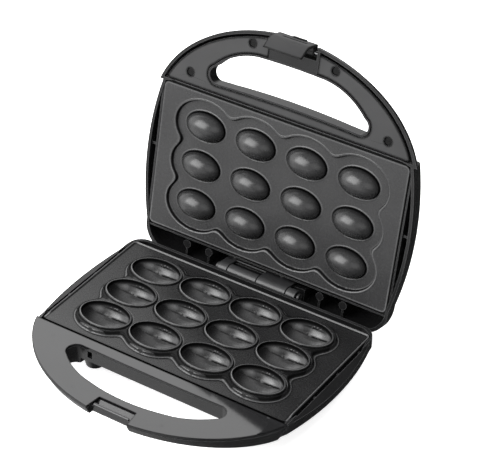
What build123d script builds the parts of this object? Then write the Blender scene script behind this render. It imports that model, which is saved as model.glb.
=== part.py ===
from build123d import *
import os
from math import sin, cos, radians, degrees, atan, sqrt

os.makedirs("parts", exist_ok=True)

# ---------------------------------------------------------------- dimensions (mm)
# Closed-lid drawing frame: x across, y towards the hinge, z up.
# Origin: centre of the baking plates, z = 0 on the flange of the lower plate.
PLATE_W, PLATE_D, PLATE_T, PLATE_R = 224.0, 124.4, 3.0, 4.5
PITCH_X, PITCH_Y, N_X, N_Y = 46.9, 33.9, 4, 3        # nut grid
CUP_A, CUP_B, CUP_Z, CUP_WALL = 21.0, 14.0, 4.3, 2.4  # half length, half width and depth
RIM_A, RIM_B = 22.6, 15.3                              # bead round each cup
PLATEAU_Z = 3.0                                        # raised field round the cups
DOME_A, DOME_B, DOME_Z = 18.0, 12.0, 7.0               # core domes of the upper plate
LID_GAP = 2.24                                         # upper flange above lower flange
RECESS_Z = 5.0                                         # floor of the upper plate's recess

HANDLE_A, HANDLE_B, HANDLE_Y = 121.0, 92.0, -38.0      # handle ellipse of the lid and its centre
BASE_HANDLE_A, BASE_HANDLE_B = 119.5, 91.3             # handle ellipse of the base
HANDLE_Y0 = -62.0                                      # where the handle arc meets the body
WALL = 2.4
BODY_X, BODY_XM = 113.8, 121.3                         # side bulge: ends and middle
BASE_REAR, LID_REAR = 68.5, 84.0
BASE_RIM_Z, BASE_SIDE_Z, BASE_FLOOR_Z = 0.9, -9.0, -25.0
BASE_COVER_TOP, COVER_T = 1.8, 2.0
BASE_FRONT = -75.1                                     # straight front wall behind the finger opening
UNDER_Z, UNDER_SLOPE = -6.4, 0.175                     # underside of the base handle at y = -128, and its fall to the rear
DECK_TOP = -3.05
SHOULDER_X, SHOULDER_Z, SHOULDER_FALL = 114.2, -0.5, 0.39   # base shoulders: inner edge, height there, fall per mm outwards
LID_RIM_Z, LID_SIDE_Z, LID_TOP_Z = 2.4, 10.0, 42.0
LID_HANDLE_Z, LID_HANDLE_DRAFT = 12.0, 4.2            # top of the lid handle, inset of its sides there
LID_COVER_Z = 2.5

FOOT_X, FOOT_Y_FRONT, FOOT_Y_REAR, FOOT_R = 68.0, -52.0, 52.0, 8.0
FOOT_Z, PAD_T = -31.0, 2.5
SCREW_X, SCREW_Y = 98.0, 48.0                          # plate screws

HINGE_Y, HINGE_Z, BARREL_R, PIN_R = 74.45, -2.3, 5.4, 2.0
KNUCKLES = (-36.5, -27.5, 0.0, 27.5, 36.5)
LEAF_T = 1.5
OPEN_ANGLE = 102.1                                     # lid leans back on its stop

LATCH_HALF, LATCH_BAY = 17.0, 19.5
LATCH_Y, LATCH_Z, LATCH_PIN_R = -123.5, 5.2, 1.3
NOTCH_HALF, RIDGE_HALF = 18.0, 15.6
CATCH_Y0, CATCH_Y1, CATCH_Z = -122.9, -121.1, -9.0     # catch wall in the base notch

GLAND_Y, GLAND_Z = 34.0, -10.6                         # cord inlet in the left side

# shift from the drawing frame to the part's own frame (bottom centre, lid open)
SHIFT_Y, SHIFT_Z = -6.69, 31.5

nodes = []


# ---------------------------------------------------------------- outlines
def body_edges(i, rear, corner, front, straight=False, back=0.0):
    """Body outline, inset by i: front arc or straight front, bulged sides, round rear corners; back moves the front ends."""
    ex, sy = corner
    x0, y0 = BODY_X - i, sy - 0.4 * i
    x1, y1 = ex - 0.8 * i, rear - i
    mx, my = (x0 + x1) / 2 + 0.21 * (y1 - y0), (y0 + y1) / 2 + 0.21 * (x0 - x1)
    if straight:
        Polyline((-x0, HANDLE_Y0), (-92, front + i), (92, front + i), (x0, HANDLE_Y0))
    else:
        ThreePointArc((-x0, HANDLE_Y0 + back), (0, front + i), (x0, HANDLE_Y0 + back))
    ThreePointArc((x0, HANDLE_Y0 + back), (BODY_XM - i, -1), (x0, y0))
    ThreePointArc((x0, y0), (mx, my), (x1, y1))
    Line((x1, y1), (-x1, y1))
    ThreePointArc((-x1, y1), (-mx, my), (-x0, y0))
    ThreePointArc((-x0, y0), (-(BODY_XM - i), -1), (-x0, HANDLE_Y0 + back))


BASE_CORNER = (101.0, 56.0)
LID_CORNER = (94.0, 60.0)


def base_face(z, i):
    with BuildSketch(Plane.XY.offset(z)) as s:
        with BuildLine():
            body_edges(i, BASE_REAR, BASE_CORNER, BASE_FRONT, True)
        make_face()
    return s.sketch


def lid_face(z, i, front=-79.5, back=0.0):
    with BuildSketch(Plane.XY.offset(z)) as s:
        with BuildLine():
            body_edges(i, LID_REAR, LID_CORNER, front, back=back)
        make_face()
    return s.sketch


def handle_face(z, i, a=HANDLE_A, b=HANDLE_B):
    with BuildSketch(Plane.XY.offset(z)) as s:
        with Locations((0, HANDLE_Y)):
            Ellipse(a - i, b - i)
        with Locations((0, HANDLE_Y0 + 30)):
            Rectangle(300, 60 + 2 * (i if i > 0 else 0), mode=Mode.SUBTRACT)
        with Locations((0, 60)):
            Rectangle(300, 150, mode=Mode.SUBTRACT)
    return s.sketch


def handle_section(z, i, a=HANDLE_A, b=HANDLE_B):
    """Handle outline with its rear edge kept where it enters the body."""
    with BuildSketch(Plane.XY.offset(z)) as s:
        with Locations((0, HANDLE_Y)):
            Ellipse(a - i, b - i)
        with Locations((0, HANDLE_Y0 + 80)):
            Rectangle(300, 160, mode=Mode.SUBTRACT)
    return s.sketch


def handle_solid(i, lift, front_lift, half_x, top):
    """Base handle inset by i: drafted sides, sloping underside, cut back behind the finger opening."""
    with BuildPart() as p:
        loft([handle_section(-18.0, 8.5 + i, BASE_HANDLE_A, BASE_HANDLE_B),
              handle_section(-1.0, i, BASE_HANDLE_A, BASE_HANDLE_B)], ruled=True)
        add(extrude(handle_section(-1.0, i, BASE_HANDLE_A, BASE_HANDLE_B), top + 1.0, mode=Mode.PRIVATE))
        with Locations(Location((0, -128, UNDER_Z + lift), (-degrees(atan(UNDER_SLOPE)), 0, 0))):
            Box(400, 400, 40, align=(Align.CENTER, Align.CENTER, Align.MAX), mode=Mode.SUBTRACT)
        with BuildSketch(Plane.YZ) as s:
            with BuildLine():
                z0 = BASE_SIDE_Z + front_lift
                Polyline((-80, z0 - 0.9412 * (-80 - BASE_FRONT)), (-60, z0 - 0.9412 * (-60 - BASE_FRONT)),
                         (-60, -45), (-80, -45), (-80, z0 - 0.9412 * (-80 - BASE_FRONT)))
            make_face()
        extrude(amount=half_x, both=True, mode=Mode.SUBTRACT)
    return p.part


def opening_face(z, grow, base=False):
    """Crescent finger opening between the handle and the body."""
    if base:
        front, f1, f2, f3, side, r1, rear = (0, -107.8), (33, -104.1), (54, -97), (67.5, -87.5), (71.6, -80.3), (64, -72.6), (0, -73.4)
    else:
        front, f1, f2, f3, side, r1, rear = (0, -106.7), (30.5, -105.9), (52, -99), (67.5, -86.6), (71.5, -78.8), (64.9, -73.3), (0, -75.1)

    def left(p):
        return (-p[0], p[1])

    with BuildSketch(Plane.XY.offset(z)) as s:
        with BuildLine():
            ThreePointArc(left(f1), front, f1)
            ThreePointArc(f1, f2, f3)
            ThreePointArc(f3, side, r1)
            ThreePointArc(r1, rear, left(r1))
            ThreePointArc(left(r1), left(side), left(f3))
            ThreePointArc(left(f3), left(f2), left(f1))
        make_face()
        if grow > 0:
            offset(amount=grow)
    return s.sketch


def nut_places():
    return GridLocations(PITCH_X, PITCH_Y, N_X, N_Y)


def half_spheroid(half_a, half_b, z):
    """Lower half of a spheroid, long axis along x, flat top at height z."""
    with BuildPart() as p:
        with BuildSketch(Plane.XY) as s:
            Ellipse(half_a, half_b)
            with Locations((0, -half_b)):
                Rectangle(4 * half_a, 2 * half_b, mode=Mode.SUBTRACT)
        revolve(axis=Axis.X, revolution_arc=-180)
    return p.part.moved(Location((0, 0, z)))


def scallop_face(z, half_x, half_y, a, b, r):
    """Outline that follows the nuts: a rectangle with one scallop per nut."""
    with BuildSketch(Plane.XY.offset(z)) as s:
        with nut_places():
            Ellipse(a, b)
        Rectangle(2 * half_x - 24, 2 * half_y - 26)
        fillet(s.vertices(), r)
    return s.sketch


# ---------------------------------------------------------------- base shell
def shoulder_prism(x1, z_end):
    """Prism along Y over each side of the body, between the shoulder slope and the height z_end."""
    z1 = SHOULDER_Z - SHOULDER_FALL * (x1 - SHOULDER_X)
    with BuildPart() as p:
        for sx in (-1, 1):
            with BuildSketch(Plane.XZ):
                with BuildLine():
                    Polyline((sx * SHOULDER_X, SHOULDER_Z), (sx * x1, z1), (sx * x1, z_end), (sx * SHOULDER_X, z_end),
                             (sx * SHOULDER_X, SHOULDER_Z))
                make_face()
            extrude(amount=61.5, both=True)
    return p.part


shoulder_above = shoulder_prism(130.0, 6.0)
shoulder_below = shoulder_prism(124.0, -5.0)
with BuildPart() as shoulder_fill:
    add(extrude(base_face(-5.0, 1.0), 8.0, mode=Mode.PRIVATE))
    add(shoulder_below, mode=Mode.INTERSECT)

with BuildPart() as base_outer:
    loft([base_face(BASE_FLOOR_Z, 17.0), base_face(BASE_SIDE_Z, 0.0)], ruled=True)
    add(extrude(base_face(BASE_SIDE_Z, 0.0), BASE_RIM_Z - BASE_SIDE_Z, mode=Mode.PRIVATE))

base_handle_block = handle_solid(0.0, 0.0, 0.3, 66.0, BASE_RIM_Z)
base_handle_hollow = handle_solid(WALL, WALL + 0.1, 3.7, 68.4, 20.0)

with BuildPart() as base_cavity:
    loft([base_face(BASE_FLOOR_Z + WALL, 18.0), base_face(BASE_SIDE_Z + 1.0, WALL)], ruled=True)
    add(extrude(base_face(BASE_SIDE_Z + 1.0, WALL), 20, mode=Mode.PRIVATE))
    add(base_handle_hollow)
    add(extrude(opening_face(-40, WALL, True), 60, mode=Mode.PRIVATE), mode=Mode.SUBTRACT)

with BuildPart() as base_shell:
    add(base_outer.part)
    add(base_handle_block)
    add(base_cavity.part, mode=Mode.SUBTRACT)
    # deck that carries the flange of the lower plate
    with BuildSketch(Plane.XY.offset(DECK_TOP - 2.6)) as s:
        add(base_face(0, 1.0))
        with Locations((0, -92)):
            Rectangle(260, 50, mode=Mode.SUBTRACT)
        RectangleRounded(211, 112, 3, mode=Mode.SUBTRACT)
    extrude(amount=2.6)
    # pocket for the flange of the plate
    with BuildSketch(Plane.XY.offset(DECK_TOP)) as s:
        RectangleRounded(PLATE_W + 0.3, PLATE_D + 0.3, PLATE_R)
    extrude(amount=12, mode=Mode.SUBTRACT)
    # shoulders fall outwards beside the plate, a narrow trough stays between them and the plate
    add(shoulder_fill.part)
    add(shoulder_above, mode=Mode.SUBTRACT)
    # small posts in the side troughs
    for sx in (-1, 1):
        for y in (40.6, 9.5, -23.6, -52.0):
            with Locations((sx * 113.2, y, DECK_TOP + 0.9)):
                Box(1.2, 2.2, 2.2)
    # legs
    for x in (-FOOT_X, FOOT_X):
        for y in (FOOT_Y_FRONT, FOOT_Y_REAR):
            with BuildSketch(Plane(origin=(x, y, FOOT_Z))) as s:
                Circle(FOOT_R - 0.6)
            extrude(amount=12, taper=-14)
    # plate screw pillars
    for x in (-SCREW_X, SCREW_X):
        for y in (-SCREW_Y, SCREW_Y):
            with Locations((x, y, -19.2)):
                Cylinder(4.6, 11.5)
    # pillars for the handle cover screws
    for x, y, h in ((-89.5, -75.5, 14.2), (89.5, -75.5, 14.2), (-40, -115.5, 7.4), (40, -115.5, 7.4)):
        with Locations((x, y, -0.2 - h / 2)):
            Cylinder(3.6, h)
    # hinge screw backing blocks behind the rear wall
    for x in (-13.75, 31.0):
        with Locations((x, BASE_REAR - 4.5, -13.5)):
            Box(8.0, 7.0, 7.0)
    # finger opening
    add(extrude(opening_face(-60, 0, True), 120, mode=Mode.PRIVATE), mode=Mode.SUBTRACT)
    # seat of the handle cover
    with BuildSketch(Plane.XY.offset(BASE_COVER_TOP - COVER_T - 0.05)) as s:
        with Locations((0, -103.2)):
            Rectangle(260, 80)
    extrude(amount=6, mode=Mode.SUBTRACT)
    # latch notch through the front of the handle
    with Locations((0, -126.5, -5)):
        Box(2 * NOTCH_HALF, 10.8, 40, mode=Mode.SUBTRACT)
    # catch wall, its sloping back and the cheeks of the notch
    with BuildSketch(Plane.YZ) as s:
        with BuildLine():
            Polyline((CATCH_Y0, -4.7), (CATCH_Y0, -0.3), (CATCH_Y1, -0.3), (CATCH_Y1, -4.6),
                     (-114.6, -0.3), (-112.5, -0.3), (-112.5, -2.6), (-117.8, -7.6),
                     (-117.8, CATCH_Z), (-119.6, CATCH_Z), (CATCH_Y0, -4.7))
        make_face()
    extrude(amount=NOTCH_HALF + 1.2, both=True)
    with BuildSketch(Plane.YZ) as s:
        with BuildLine():
            Polyline((CATCH_Y0, -0.5), (CATCH_Y0, 1.0), (CATCH_Y0 + 0.5, 1.4), (CATCH_Y1, 1.4), (CATCH_Y1, -0.5), (CATCH_Y0, -0.5))
        make_face()
    extrude(amount=RIDGE_HALF, both=True)
    for sx in (-1, 1):
        with BuildSketch(Plane.YZ.offset(sx * (NOTCH_HALF + 0.1))) as s:
            with BuildLine():
                Polyline((-127.7, -1.2), (-127.7, -0.3), (-112, -0.3), (-112, -8.6), (-124.5, -6.6),
                         (-125.4, -5.6), (-127.7, -1.2))
            make_face()
        extrude(amount=sx * 1.5)
    # screw holes: plate screws from below, cover screws from below
    for x in (-SCREW_X, SCREW_X):
        for y in (-SCREW_Y, SCREW_Y):
            with Locations((x, y, -18.6)):
                Cylinder(1.75, 30, mode=Mode.SUBTRACT)
            with Locations((x, y, -22.75)):
                Cylinder(3.3, 10, mode=Mode.SUBTRACT)
    for x, y in ((-89.5, -75.5), (89.5, -75.5), (-40, -115.5), (40, -115.5)):
        with Locations((x, y, -5)):
            Cylinder(1.45, 30, mode=Mode.SUBTRACT)
        with Locations((x, y, -6.7 - 6)):
            Cylinder(2.6, 12, mode=Mode.SUBTRACT)
    for x in (-13.75, 31.0):
        with Locations((x, BASE_REAR - 4.0, -13.5)):
            Cylinder(1.3, 12, rotation=(90, 0, 0), mode=Mode.SUBTRACT)
    # sockets for the foot pads
    for x in (-FOOT_X, FOOT_X):
        for y in (FOOT_Y_FRONT, FOOT_Y_REAR):
            with Locations((x, y, FOOT_Z)):
                Cylinder(5.6, 3.0, mode=Mode.SUBTRACT)
    # vents in the floor
    with Locations((0, 0, BASE_FLOOR_Z + 1)):
        with GridLocations(9, 0, 8, 1):
            Box(3.0, 44, 8, mode=Mode.SUBTRACT)
    # window in the front wall
    with Locations((-56.8, -71.5, -4.7)):
        Box(4.6, 8, 6.4, mode=Mode.SUBTRACT)
    # cord inlet in the left rear side
    with Locations((-113.6, GLAND_Y, -11.5)):
        Box(9.2, 15, 11.4)
    with Locations((-114, GLAND_Y, GLAND_Z)):
        Cylinder(4.5, 16, rotation=(0, 90, 0), mode=Mode.SUBTRACT)
nodes.append(("base_shell", base_shell.part, "base"))

with BuildPart() as foot_pads:
    for x in (-FOOT_X, FOOT_X):
        for y in (FOOT_Y_FRONT, FOOT_Y_REAR):
            with Locations((x, y, FOOT_Z + 1.5 - 1.0)):
                Cylinder(5.55, 2.0)
            with Locations((x, y, FOOT_Z - 0.25)):
                Cylinder(5.0, 0.5)
nodes.append(("foot_pads", foot_pads.part, "base"))

with BuildPart() as base_handle_cover:
    with BuildSketch(Plane.XY.offset(BASE_COVER_TOP - COVER_T)) as s:
        add(handle_face(0, -0.05, BASE_HANDLE_A, BASE_HANDLE_B))
        with Locations((0, 40)):
            Rectangle(300, 207.2, mode=Mode.SUBTRACT)
        add(opening_face(0, 0, True), mode=Mode.SUBTRACT)
        with BuildLine():
            Polyline((-18.5, -135), (-18.3, -127), (-16.6, -114.2), (16.6, -114.2), (18.3, -127), (18.5, -135), (-18.5, -135))
        make_face(mode=Mode.SUBTRACT)
    extrude(amount=COVER_T)
    for x, y in ((-89.5, -75.5), (89.5, -75.5), (-40, -115.5), (40, -115.5)):
        with Locations((x, y, BASE_COVER_TOP - COVER_T + 0.6)):
            Cylinder(1.2, 1.4, mode=Mode.SUBTRACT)
nodes.append(("base_handle_cover", base_handle_cover.part, "base"))

with BuildPart() as base_cover_screws:
    for x, y in ((-89.5, -75.5), (89.5, -75.5), (-40, -115.5), (40, -115.5)):
        with Locations((x, y, -3.35)):
            Cylinder(1.15, 8.1)
        with Locations((x, y, -7.6)):
            Cylinder(2.45, 1.6)
nodes.append(("base_cover_screws", base_cover_screws.part, "base"))


# ---------------------------------------------------------------- lower plate
cup_body = split(half_spheroid(CUP_A + CUP_WALL, CUP_B + CUP_WALL, CUP_Z), Plane.XY.offset(-0.5), keep=Keep.BOTTOM)
cup_hollow = half_spheroid(CUP_A, CUP_B, CUP_Z)
with BuildPart() as lower_plate:
    with BuildSketch(Plane.XY.offset(-PLATE_T)) as s:
        RectangleRounded(PLATE_W, PLATE_D, PLATE_R)
    extrude(amount=PLATE_T)
    # raised field with scalloped edge
    extrude(scallop_face(-0.5, 96, 54.5, 25.6, 20.6, 5.0), PLATEAU_Z + 0.5)
    # upstand along the sides and the rear
    with BuildSketch(Plane.XY.offset(-0.2)) as s:
        RectangleRounded(PLATE_W - 1.0, PLATE_D - 1.0, PLATE_R - 0.5)
        RectangleRounded(PLATE_W - 4.0, PLATE_D - 4.0, PLATE_R - 2, mode=Mode.SUBTRACT)
        with Locations((0, -PLATE_D / 2)):
            Rectangle(PLATE_W, 12, mode=Mode.SUBTRACT)
    extrude(amount=1.4)
    # bead round each cup
    with BuildSketch(Plane.XY.offset(2.5)) as s:
        with nut_places():
            Ellipse(RIM_A, RIM_B)
    extrude(amount=CUP_Z - 2.5)
    # cup bodies below the plate
    for loc in nut_places():
        add(cup_body.moved(loc))
    for loc in nut_places():
        add(cup_hollow.moved(loc), mode=Mode.SUBTRACT)
    # screw bosses under the flange
    for x in (-SCREW_X, SCREW_X):
        for y in (-SCREW_Y, SCREW_Y):
            with Locations((x, y, -7.6)):
                Cylinder(3.8, 9.5)
            with Locations((x, y, -8.5)):
                Cylinder(1.25, 9.0, mode=Mode.SUBTRACT)
nodes.append(("lower_plate", lower_plate.part, "base"))


# ---------------------------------------------------------------- lower heater and electrics
ELEMENT_R, ELEMENT_Z, ELEMENT_Y, ELEMENT_X = 3.2, -9.0, 16.95, 100.0
with BuildPart() as lower_heating_element:
    with BuildLine() as path:
        FilletPolyline((96, ELEMENT_Y, ELEMENT_Z), (-ELEMENT_X, ELEMENT_Y, ELEMENT_Z),
                       (-ELEMENT_X, -ELEMENT_Y, ELEMENT_Z), (96, -ELEMENT_Y, ELEMENT_Z), radius=12)
    with BuildSketch(Plane(origin=(96, ELEMENT_Y, ELEMENT_Z), x_dir=(0, 1, 0), z_dir=(-1, 0, 0))):
        Circle(ELEMENT_R)
    sweep()
nodes.append(("lower_heating_element", lower_heating_element.part, "base"))

with BuildPart() as lower_element_terminals:
    for y in (-ELEMENT_Y, ELEMENT_Y):
        with Locations((98.05, y, ELEMENT_Z)):
            Cylinder(2.6, 4, rotation=(0, 90, 0))
        with Locations((103.05, y, ELEMENT_Z)):
            Cylinder(1.2, 6, rotation=(0, 90, 0))
nodes.append(("lower_element_terminals", lower_element_terminals.part, "base"))

# sheet metal tray that holds the element against the plate
with BuildPart() as lower_heat_shield:
    with BuildSketch(Plane.XY.offset(-13.4)) as s:
        RectangleRounded(206, 106, 6)
    extrude(amount=1.0)
    with BuildSketch(Plane.XY.offset(-14.0)) as s:
        with nut_places():
            Ellipse(18.6, 9.6)
    extrude(amount=3, mode=Mode.SUBTRACT)
    for x in (-SCREW_X, SCREW_X):
        for y in (-SCREW_Y, SCREW_Y):
            with Locations((x, y, -13)):
                Cylinder(1.75, 4, mode=Mode.SUBTRACT)
nodes.append(("lower_heat_shield", lower_heat_shield.part, "base"))

# saddles between the tray and the element
with BuildPart() as lower_element_saddles:
    for x in (-PITCH_X, 0, PITCH_X):
        for y in (-ELEMENT_Y, ELEMENT_Y):
            with Locations((x, y, -11.2)):
                Box(6, 9, 2.3)
            with Locations((x, y, ELEMENT_Z)):
                Cylinder(ELEMENT_R + 0.05, 8, rotation=(0, 90, 0), mode=Mode.SUBTRACT)
nodes.append(("lower_element_saddles", lower_element_saddles.part, "base"))

with BuildPart() as lower_plate_screws:
    for x in (-SCREW_X, SCREW_X):
        for y in (-SCREW_Y, SCREW_Y):
            with Locations((x, y, -11.9)):
                Cylinder(1.22, 11.8)
            with Locations((x, y, -19.0)):
                Cylinder(3.0, 2.4)
                with Locations((x, y, -20.0)):
                    Box(4.2, 0.8, 1.0, mode=Mode.SUBTRACT)
                    Box(0.8, 4.2, 1.0, mode=Mode.SUBTRACT)
nodes.append(("lower_plate_screws", lower_plate_screws.part, "base"))

with BuildPart() as thermostat:
    with Locations((0, 0, -16.0)):
        Cylinder(8.0, 5.0)
    with Locations((0, 0, -19.0)):
        Cylinder(6.0, 1.0)
    for x in (-10.0, 10.0):
        with Locations((x, 0, -15.0)):
            Box(6.0, 5.0, 0.8)
nodes.append(("thermostat", thermostat.part, "base"))

with BuildPart() as thermal_fuse:
    with Locations((46.9, 0, -16.2)):
        Cylinder(2.2, 14, rotation=(0, 90, 0))
        Cylinder(0.5, 26, rotation=(0, 90, 0))
nodes.append(("thermal_fuse", thermal_fuse.part, "base"))

with BuildPart() as terminal_block:
    with Locations((-80, 36, -18.4)):
        Box(22, 12, 8.0)
        with Locations((-80, 36, -15.4)):
            with GridLocations(7, 0, 3, 1):
                Cylinder(1.8, 3, mode=Mode.SUBTRACT)
nodes.append(("terminal_block", terminal_block.part, "base"))

# rubber bush in the side of the base where the mains lead enters
with BuildPart() as cord_inlet_bush:
    with Locations((-114.3, GLAND_Y, GLAND_Z)):
        Cylinder(4.45, 12.0, rotation=(0, 90, 0))
    with Locations((-120.0, GLAND_Y, GLAND_Z)):
        Cylinder(6.0, 1.2, rotation=(0, 90, 0))
    with Locations((-116, GLAND_Y, GLAND_Z)):
        Cylinder(3.2, 24.0, rotation=(0, 90, 0), mode=Mode.SUBTRACT)
nodes.append(("cord_inlet_bush", cord_inlet_bush.part, "base"))

WIRE_R = 1.0
with BuildPart() as base_wiring:
    for pts in (((-69, 33, -17.5), (-52, 33, -17.5), (-52, 12, -17.5), (-14.6, 0.0, -17.5)),
                ((14.6, 0, -17.5), (25, -8, -17.5), (84, -8, -17.5), (105.6, -ELEMENT_Y, -17.5), (105.6, -ELEMENT_Y, -10.3))):
        with BuildLine() as w:
            FilletPolyline(*pts, radius=2.6)
        with BuildSketch(Plane(origin=w.line @ 0, z_dir=w.line % 0)):
            Circle(WIRE_R)
        sweep()
nodes.append(("base_wiring", base_wiring.part, "base"))

# ---------------------------------------------------------------- hinge
KG = 0.35                                              # end gap between knuckles


def knuckle(x0, x1):
    with Locations(((x0 + x1) / 2, HINGE_Y, HINGE_Z)):
        Cylinder(BARREL_R, x1 - x0 - 2 * KG, rotation=(0, 90, 0))


LEAF_Y = HINGE_Y - BARREL_R
with BuildPart() as base_hinge_bracket:
    knuckle(KNUCKLES[1], KNUCKLES[2])
    knuckle(KNUCKLES[3], KNUCKLES[4])
    for x0, x1 in (KNUCKLES[1:3], KNUCKLES[3:5]):
        with Locations(((x0 + x1) / 2, LEAF_Y + LEAF_T / 2, HINGE_Z - 7.5)):
            Box(x1 - x0 - 2 * KG, LEAF_T, 15.0)
    with Locations(((KNUCKLES[1] + KNUCKLES[4]) / 2, LEAF_Y + LEAF_T / 2, -13.8)):
        Box(KNUCKLES[4] - KNUCKLES[1] - 2 * KG, LEAF_T, 8.0)
    with Locations((0, HINGE_Y, HINGE_Z)):
        Cylinder(PIN_R + 0.02, 90, rotation=(0, 90, 0), mode=Mode.SUBTRACT)
    for x in (-13.75, 31.0):
        with Locations((x, LEAF_Y, -13.5)):
            Cylinder(1.6, 8, rotation=(90, 0, 0), mode=Mode.SUBTRACT)
nodes.append(("base_hinge_bracket", base_hinge_bracket.part, "base"))

with BuildPart() as hinge_pin:
    with Locations((0, HINGE_Y, HINGE_Z)):
        Cylinder(PIN_R, 75.0, rotation=(0, 90, 0))
    for sx in (-1, 1):
        with Locations((sx * 38.0, HINGE_Y, HINGE_Z)):
            Cylinder(3.4, 1.6, rotation=(0, 90, 0))
nodes.append(("hinge_pin", hinge_pin.part, "base"))

with BuildPart() as base_hinge_screws:
    for x in (-13.75, 31.0):
        with Locations((x, LEAF_Y + LEAF_T - 5.0, -13.5)):
            Cylinder(1.25, 10.0, rotation=(90, 0, 0))
        with Locations((x, LEAF_Y + LEAF_T + 0.7, -13.5)):
            Cylinder(2.7, 1.4, rotation=(90, 0, 0))
nodes.append(("base_hinge_screws", base_hinge_screws.part, "base"))

with BuildPart() as lid_hinge_bracket:
    knuckle(KNUCKLES[0], KNUCKLES[1])
    knuckle(KNUCKLES[2], KNUCKLES[3])
    for x0, x1 in (KNUCKLES[0:2], KNUCKLES[2:4]):
        with Locations(((x0 + x1) / 2, LEAF_Y + LEAF_T / 2, HINGE_Z + 8.0)):
            Box(x1 - x0 - 2 * KG, LEAF_T, 16.0)
    with Locations(((KNUCKLES[0] + KNUCKLES[3]) / 2, LEAF_Y + LEAF_T / 2, 11.5)):
        Box(KNUCKLES[3] - KNUCKLES[0] - 2 * KG, LEAF_T, 8.0)
    with Locations((0, HINGE_Y, HINGE_Z)):
        Cylinder(PIN_R + 0.05, 90, rotation=(0, 90, 0), mode=Mode.SUBTRACT)
    for x in (-31.0, 13.75):
        with Locations((x, LEAF_Y, 11.5)):
            Cylinder(1.6, 8, rotation=(90, 0, 0), mode=Mode.SUBTRACT)
nodes.append(("lid_hinge_bracket", lid_hinge_bracket.part, "lid"))

with BuildPart() as lid_hinge_screws:
    for x in (-31.0, 13.75):
        with Locations((x, LEAF_Y + 4.0, 11.5)):
            Cylinder(1.25, 8.6, rotation=(90, 0, 0))
        with Locations((x, LEAF_Y - 0.75, 11.5)):
            Cylinder(2.7, 1.4, rotation=(90, 0, 0))
nodes.append(("lid_hinge_screws", lid_hinge_screws.part, "lid"))

# ---------------------------------------------------------------- lid shell
FRAME_X, FRAME_Y0, FRAME_Y1, FRAME_TOP = 113.9, -64.6, 65.2, 14.0
LID_DECK_Z = LID_GAP + PLATE_T + 0.1
with BuildPart() as lid_handle_block:
    loft([handle_section(4.8, 0.0), handle_section(LID_HANDLE_Z, LID_HANDLE_DRAFT)], ruled=True)
    fillet(lid_handle_block.faces().sort_by(Axis.Z)[-1].edges().filter_by(GeomType.LINE, reverse=True), 2.0)
    extrude(handle_section(LID_RIM_Z, 0.0), 4.8 - LID_RIM_Z)

with BuildPart() as lid_outer:
    add(extrude(lid_face(LID_RIM_Z, 0.0), LID_SIDE_Z - LID_RIM_Z, mode=Mode.PRIVATE))
    loft([lid_face(LID_SIDE_Z, 0.0), lid_face(LID_SIDE_Z + 13, 5.0, -69.5, 3.0),
          lid_face(LID_SIDE_Z + 24, 16.0, -69.0, 12.0), lid_face(LID_TOP_Z, 38.0, -77.5, 26.0)])
    add(lid_handle_block.part)

with BuildPart() as lid_cavity:
    add(extrude(lid_face(LID_RIM_Z - 5, WALL), LID_SIDE_Z - LID_RIM_Z + 5, mode=Mode.PRIVATE))
    loft([lid_face(LID_SIDE_Z, WALL), lid_face(LID_SIDE_Z + 12, WALL + 5.0, -69.4, 4.0),
          lid_face(LID_SIDE_Z + 22, WALL + 16.0, -69.9, 13.0), lid_face(LID_TOP_Z - WALL, WALL + 38.0, -78.4, 27.0)])
    add(extrude(handle_face(LID_RIM_Z - 5, WALL), 10.0 - LID_RIM_Z, mode=Mode.PRIVATE))
    loft([handle_face(5.0, WALL), handle_face(LID_HANDLE_Z - WALL, WALL + 3.2)], ruled=True)
    add(extrude(opening_face(-40, WALL), 100, mode=Mode.PRIVATE), mode=Mode.SUBTRACT)

# ribs and bosses inside the lid, trimmed to the outside of the shell
with BuildPart() as lid_ribs:
    # frame round the upper plate, with the ledge that carries it
    with BuildSketch(Plane.XY.offset(3.2)) as s:
        Rectangle(2 * FRAME_X, FRAME_Y1 - FRAME_Y0)
        Rectangle(2 * FRAME_X - 2.6, FRAME_Y1 - FRAME_Y0 - 2.6, mode=Mode.SUBTRACT)
    extrude(amount=FRAME_TOP - 3.2)
    with BuildSketch(Plane.XY.offset(LID_DECK_Z)) as s:
        Rectangle(2 * FRAME_X - 0.5, FRAME_Y1 - FRAME_Y0 - 0.5)
        RectangleRounded(211, 112, 3, mode=Mode.SUBTRACT)
    extrude(amount=2.2)
    for sx in (-1, 1):
        for y, t in ((-5, 1.8), (-44, 1.6), (36, 1.6), (63.5, 2.0)):
            with Locations((sx * 118.5, y, 9.4)):
                Box(10, t, 9.0)
    for x, y in ((-52.5, 70.0), (52.5, 70.0), (-73.7, 70.0), (73.7, 70.0)):
        with Locations((x, y, 16)):
            Cylinder(3.4, 24)
        with Locations((x, y + 6, 20)):
            Box(1.6, 12, 30)
    # block that carries the hinge leaf
    with Locations((0, LEAF_Y + LEAF_T + 0.1 + 6.5, 18.0)):
        Box(76, 13, 24)
    with Locations((0, LEAF_Y + LEAF_T + 0.1 + 5.5, 20.0)):
        Box(70, 8, 24, mode=Mode.SUBTRACT)
    for x in (-31.0, 13.75):
        with Locations((x, LEAF_Y + LEAF_T + 0.1 + 4.0, 13)):
            Box(9, 8, 14)
    # pillars for the plate screws and the handle cover screws
    for x in (-SCREW_X, SCREW_X):
        for y in (-SCREW_Y, SCREW_Y):
            with Locations((x, y, 22)):
                Cylinder(4.2, 18)
    for x, y in ((-89.5, -75.5), (89.5, -75.5), (-37, -115.5), (37, -115.5)):
        with Locations((x, y, 7.8)):
            Cylinder(3.9, 6.4)
    # lamp tubes
    for x in (-16, 16):
        with Locations((x, -30, 34)):
            Cylinder(6.0, 14)
    with Locations((0, 0, 0)):
        add(lid_outer.part, mode=Mode.INTERSECT)

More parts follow.
